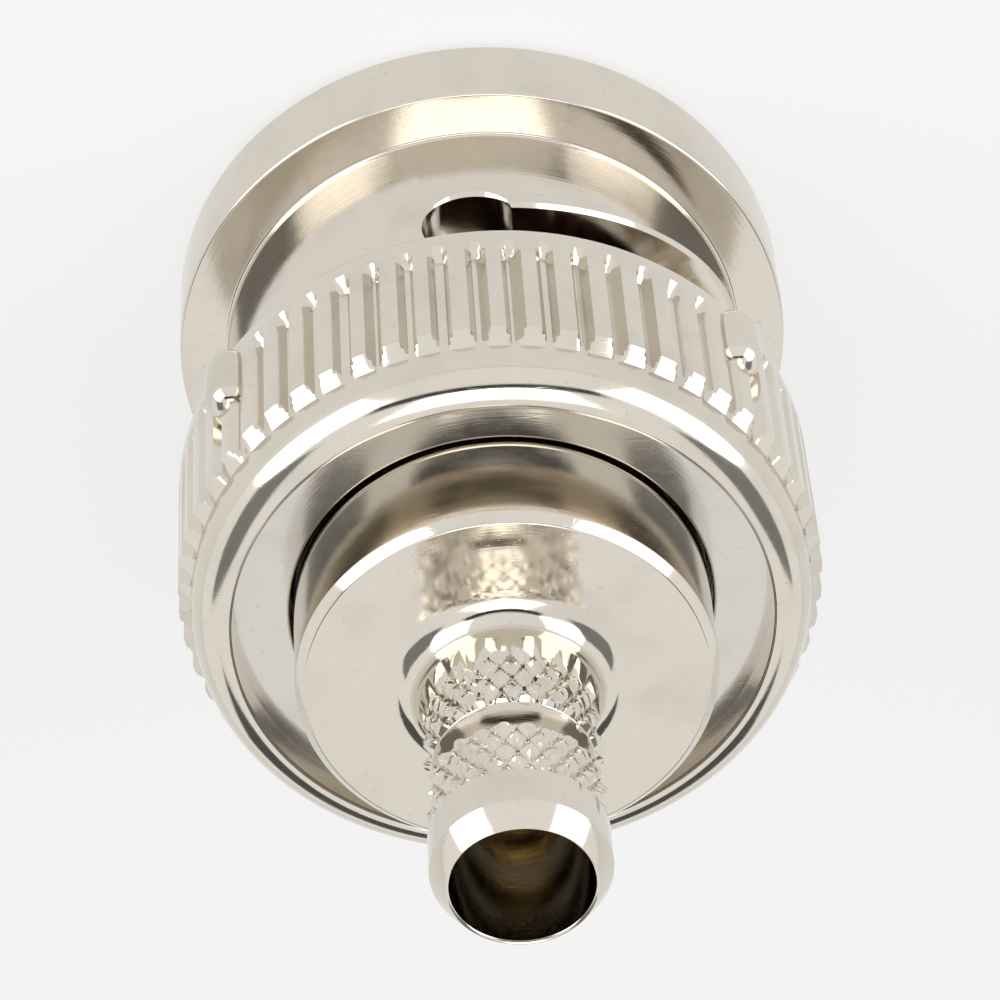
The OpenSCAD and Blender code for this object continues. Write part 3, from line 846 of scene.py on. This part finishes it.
class PLUG_OT_stage(bpy.types.Operator):
    """Pale floor, soft lamps and the camera"""
    bl_idname = "plug.stage"
    bl_label = "Stage"

    def execute(self, context):
        self.floor()
        self.world(context.scene)
        self.lamps()
        self.camera(context.scene)
        for name, place, width, height, grey in CARDS:
            self.card(name, place, width, height, grey)
        return {"FINISHED"}

    def seen(self, tree):
        """1 for camera, glossy and transmission rays."""
        nodes, links = tree.nodes, tree.links
        path = nodes.new("ShaderNodeLightPath")
        first, second = nodes.new("ShaderNodeMath"), nodes.new("ShaderNodeMath")
        first.operation = second.operation = "MAXIMUM"
        links.new(path.outputs["Is Camera Ray"], first.inputs[0])
        links.new(path.outputs["Is Glossy Ray"], first.inputs[1])
        links.new(first.outputs[0], second.inputs[0])
        links.new(path.outputs["Is Transmission Ray"], second.inputs[1])
        return second.outputs[0]

    def floor(self):
        nothing_selected()
        bpy.ops.mesh.primitive_plane_add(size=1.2, location=(0, 0, 0))
        floor = settled(named("floor"))
        paper = bpy.data.materials.new("paper")
        paper.use_nodes = True
        nodes, links = paper.node_tree.nodes, paper.node_tree.links
        shader, out = nodes["Principled BSDF"], nodes["Material Output"]
        shader.inputs["Base Color"].default_value = (0.9, 0.9, 0.9, 1)
        shader.inputs["Roughness"].default_value = 0.9
        shader.inputs["Specular IOR Level"].default_value = 0.0
        glow, mix = nodes.new("ShaderNodeEmission"), nodes.new("ShaderNodeMixShader")
        part = nodes.new("ShaderNodeMath")
        part.operation = "MULTIPLY"
        part.inputs[1].default_value = 0.62
        links.new(self.seen(paper.node_tree), part.inputs[0])
        links.new(part.outputs[0], mix.inputs[0])
        links.new(shader.outputs[0], mix.inputs[1])
        links.new(glow.outputs[0], mix.inputs[2])
        links.new(mix.outputs[0], out.inputs["Surface"])
        floor.data.materials.append(paper)

    def world(self, scene):
        world = scene.world or bpy.data.worlds.new("studio")
        scene.world = world
        world.use_nodes = True
        nodes, links = world.node_tree.nodes, world.node_tree.links
        back, out = nodes["Background"], nodes["World Output"]
        back.inputs[0].default_value = (0.5, 0.5, 0.5, 1)
        white, mix = nodes.new("ShaderNodeBackground"), nodes.new("ShaderNodeMixShader")
        white.inputs[0].default_value = (1, 1, 1, 1)
        links.new(self.seen(world.node_tree), mix.inputs[0])
        links.new(back.outputs[0], mix.inputs[1])
        links.new(white.outputs[0], mix.inputs[2])
        links.new(mix.outputs[0], out.inputs[0])

    def lamps(self):
        for name, place, size, brightness in LAMPS:
            lamp = bpy.data.lights.new(name, "AREA")
            lamp.energy, lamp.size = brightness * math.pi * size * size, size
            stand = bpy.data.objects.new(name, lamp)
            bpy.context.collection.objects.link(stand)
            aim = PLUG_MIDDLE - Vector(place)
            stand.location = place
            stand.rotation_euler = aim.to_track_quat("-Z", "Y").to_euler()

    def card(self, name, place, width, height, grey):
        """A grey card that only shows in the plating's reflections."""
        nothing_selected()
        aim = Vector(place) - PLUG_MIDDLE
        facing = aim.to_track_quat("Z", "Y").to_euler()
        bpy.ops.mesh.primitive_plane_add(size=1, location=place, rotation=facing)
        card = named(name)
        card.scale = (width, height, 1)
        settled(card)
        cloth = bpy.data.materials.new(name + "_cloth")
        cloth.use_nodes = True
        nodes, links = cloth.node_tree.nodes, cloth.node_tree.links
        glow = nodes.new("ShaderNodeEmission")
        glow.inputs[0].default_value = (grey, grey, grey, 1)
        links.new(glow.outputs[0], nodes["Material Output"].inputs["Surface"])
        card.data.materials.append(cloth)
        card.visible_camera = card.visible_diffuse = card.visible_shadow = card.visible_transmission = False

    def camera(self, scene):
        """Looks down at the stem from behind, upside down, so that the stem comes lowest in the view."""
        tilt, yaw, roll = math.radians(37.117), math.radians(2.548), math.radians(-0.123)
        reach, aside, below, focus = 101.823, 0.46, -8.078, 4882.0
        right = Vector((-math.cos(yaw), 0, math.sin(yaw)))
        up = Vector((-math.sin(tilt) * math.sin(yaw), -math.cos(tilt), -math.sin(tilt) * math.cos(yaw)))
        back = Vector((math.cos(tilt) * math.sin(yaw), -math.sin(tilt), math.cos(tilt) * math.cos(yaw)))
        place = Vector((0, 0, BODY_HIGH.z / MM)) - aside * right - below * up + reach * back
        turn_right = math.cos(roll) * right + math.sin(roll) * up
        turn_up = -math.sin(roll) * right + math.cos(roll) * up
        pose = Matrix((turn_right, turn_up, back)).transposed().to_4x4()
        pose.translation = place * MM
        lens = bpy.data.cameras.new("camera")
        lens.sensor_width = 36
        lens.lens = 36 * focus / 1000
        lens.clip_start, lens.clip_end = 0.005, 5
        view = bpy.data.objects.new("camera", lens)
        view.matrix_world = pose
        scene.collection.objects.link(view)
        scene.camera = view


# ------------------------------------------------------------------ panel

class PLUG_PT_panel(bpy.types.Panel):
    """Lists the plug's sizes, finishes and builders"""
    bl_idname = "PLUG_PT_panel"
    bl_label = "Bayonet plug"
    bl_space_type = "VIEW_3D"
    bl_region_type = "UI"
    bl_category = "Plug"

    def draw(self, context):
        for group in ("plug_nut", "plug_slots", "plug_body", "plug_finishes"):
            box = self.layout.box()
            settings = getattr(context.scene, group)
            for name in settings.bl_rna.properties.keys():
                if name not in ("rna_type", "name"):
                    box.prop(settings, name)
        for operator in BUILDERS:
            self.layout.operator(operator.bl_idname)


BUILDERS = (
    PLUG_OT_nut_sleeve, PLUG_OT_nut_collar, PLUG_OT_grip_pips, PLUG_OT_washers, PLUG_OT_gasket,
    PLUG_OT_body_barrel, PLUG_OT_crimp_stem, PLUG_OT_outer_contact, PLUG_OT_insulators,
    PLUG_OT_centre_contact, PLUG_OT_stage)
SETTINGS = (
    ("plug_nut", NutSizes), ("plug_slots", SlotSizes), ("plug_body", BodySizes), ("plug_finishes", Finishes))


def register():
    for name, group in SETTINGS:
        bpy.utils.register_class(group)
        setattr(bpy.types.Scene, name, bpy.props.PointerProperty(type=group))
    for item in (*BUILDERS, PLUG_PT_panel):
        bpy.utils.register_class(item)


def unregister():
    for item in reversed((*BUILDERS, PLUG_PT_panel)):
        bpy.utils.unregister_class(item)
    for name, group in reversed(SETTINGS):
        delattr(bpy.types.Scene, name)
        bpy.utils.unregister_class(group)


def main():
    register()
    for operator in BUILDERS:
        family, verb = operator.bl_idname.split(".")
        getattr(getattr(bpy.ops, family), verb)()
    scene = bpy.context.scene
    scene.view_settings.view_transform = "Standard"


if __name__ == "__main__":
    main()
